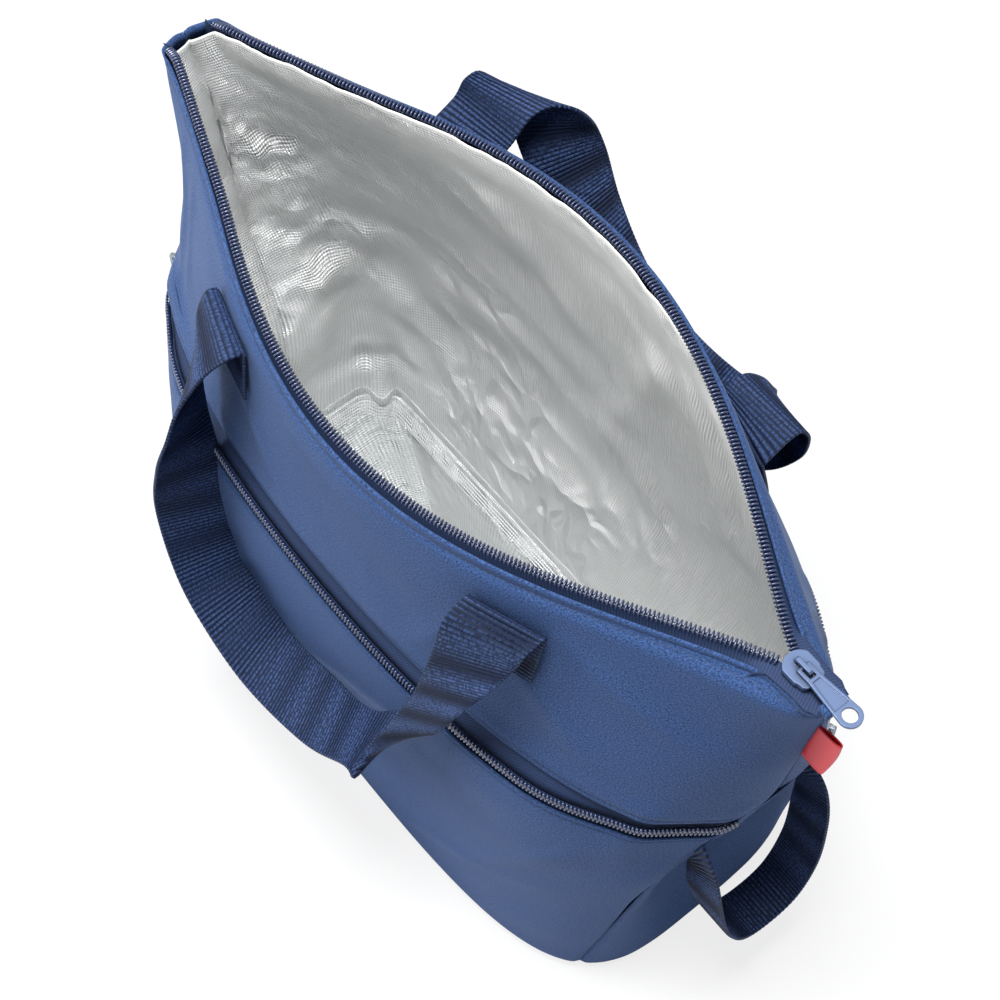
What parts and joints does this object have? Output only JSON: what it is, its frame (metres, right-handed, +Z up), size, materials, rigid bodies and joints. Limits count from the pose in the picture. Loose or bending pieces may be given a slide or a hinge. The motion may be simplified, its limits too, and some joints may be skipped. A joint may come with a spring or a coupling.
{
  "type": "insulated cooler bag",
  "caption": "Soft insulated tote with a zip mouth standing open, foil liner, outer zip pockets, webbing handles, side loops and a plain red seam tab.",
  "frame": {"origin": "middle of the base, on the surface the bag stands on", "axes": "+X along the mouth towards the closed end of the zip, +Y from the front to the back, +Z up"},
  "size_m": [0.4958, 0.2706, 0.3413],
  "materials": {
    "navy_fabric": "matte woven polyester",
    "pocket_lining": "thin woven polyester",
    "webbing": "ribbed polyester webbing",
    "zip_tape": "woven zip tape",
    "zip_coil": "satin nylon",
    "painted_slider": "semi-gloss",
    "plated_slider": "plated",
    "foam": "closed-cell foam",
    "foil_liner": "metallised film",
    "red_tab": "folded woven tape"
  },
  "bodies": {
    "bag": {"base_panel": "navy_fabric", "front_upper_panel": "navy_fabric", "back_upper_panel": "navy_fabric", "front_pocket_panel": "navy_fabric", "back_pocket_panel": "navy_fabric", "left_gusset": "navy_fabric", "right_gusset": "navy_fabric", "front_pocket_lining": "pocket_lining", "back_pocket_lining": "pocket_lining", "foam_base": "foam", "foam_front": "foam", "foam_back": "foam", "foam_left": "foam", "foam_right": "foam", "liner_base": "foil_liner", "liner_front": "foil_liner", "liner_back": "foil_liner", "liner_left": "foil_liner", "liner_right": "foil_liner", "top_zip_front_tape": "zip_tape", "top_zip_back_tape": "zip_tape", "top_zip_front_coil": "zip_coil", "top_zip_back_coil": "zip_coil", "top_zip_end_tab": "zip_tape", "front_pocket_zip_upper_tape": "zip_tape", "front_pocket_zip_lower_tape": "zip_tape", "front_pocket_zip_coil": "zip_coil", "back_pocket_zip_upper_tape": "zip_tape", "back_pocket_zip_lower_tape": "zip_tape", "back_pocket_zip_coil": "zip_coil", "front_left_handle_end": "webbing", "front_right_handle_end": "webbing", "back_left_handle_end": "webbing", "back_right_handle_end": "webbing", "side_tab": "red_tab"},
    "top_slider": {"top_zip_slider": "painted_slider"},
    "top_pull": {"top_zip_pull": "painted_slider"},
    "front_pocket_slider": {"front_pocket_zip_slider": "plated_slider"},
    "front_pocket_pull": {"front_pocket_zip_pull": "plated_slider"},
    "back_pocket_slider": {"back_pocket_zip_slider": "plated_slider"},
    "back_pocket_pull": {"back_pocket_zip_pull": "plated_slider"},
    "front_handle": {"front_handle": "webbing"},
    "back_handle": {"back_handle": "webbing"},
    "left_loop": {"left_side_loop": "webbing"},
    "right_loop": {"right_side_loop": "webbing"}
  },
  "joints": [
    {"name": "top_slider_slide", "type": "slide", "parent": "bag", "child": "top_slider", "axis": [1, 0, 0], "range_m": [0, 0.007]},
    {"name": "top_pull_swing", "type": "hinge", "parent": "top_slider", "child": "top_pull", "pos_m": [0.215, 0.00516, 0.3386], "axis": [0, -1, 0], "range_deg": [0, 165]},
    {"name": "front_pocket_slider_slide", "type": "slide", "parent": "bag", "child": "front_pocket_slider", "axis": [0.5902, -0.8072, 0], "range_m": [0, 0.011]},
    {"name": "front_pocket_pull_swing", "type": "hinge", "parent": "front_pocket_slider", "child": "front_pocket_pull", "pos_m": [-0.20931, -0.03515, 0.196], "axis": [-0.5902, 0.8072, 0], "range_deg": [0, 110]},
    {"name": "back_pocket_slider_slide", "type": "slide", "parent": "bag", "child": "back_pocket_slider", "axis": [-0.589, 0.8081, 0], "range_m": [0, 0.011]},
    {"name": "back_pocket_pull_swing", "type": "hinge", "parent": "back_pocket_slider", "child": "back_pocket_pull", "pos_m": [0.2093, 0.05157, 0.196], "axis": [0.589, -0.8081, 0], "range_deg": [0, 110]},
    {"name": "front_handle_swing", "type": "hinge", "parent": "bag", "child": "front_handle", "pos_m": [0, -0.07134, 0.30865], "axis": [-1, 0, 0], "range_deg": [0, 110]},
    {"name": "back_handle_swing", "type": "hinge", "parent": "bag", "child": "back_handle", "pos_m": [0, 0.08386, 0.32134], "axis": [1, 0, 0], "range_deg": [0, 110]},
    {"name": "left_loop_swing", "type": "hinge", "parent": "bag", "child": "left_loop", "pos_m": [-0.20884, 0.00858, 0.168], "axis": [0, 1, 0], "range_deg": [0, 65]},
    {"name": "right_loop_swing", "type": "hinge", "parent": "bag", "child": "right_loop", "pos_m": [0.20884, 0.00858, 0.168], "axis": [0, -1, 0], "range_deg": [0, 65]}
  ]
}
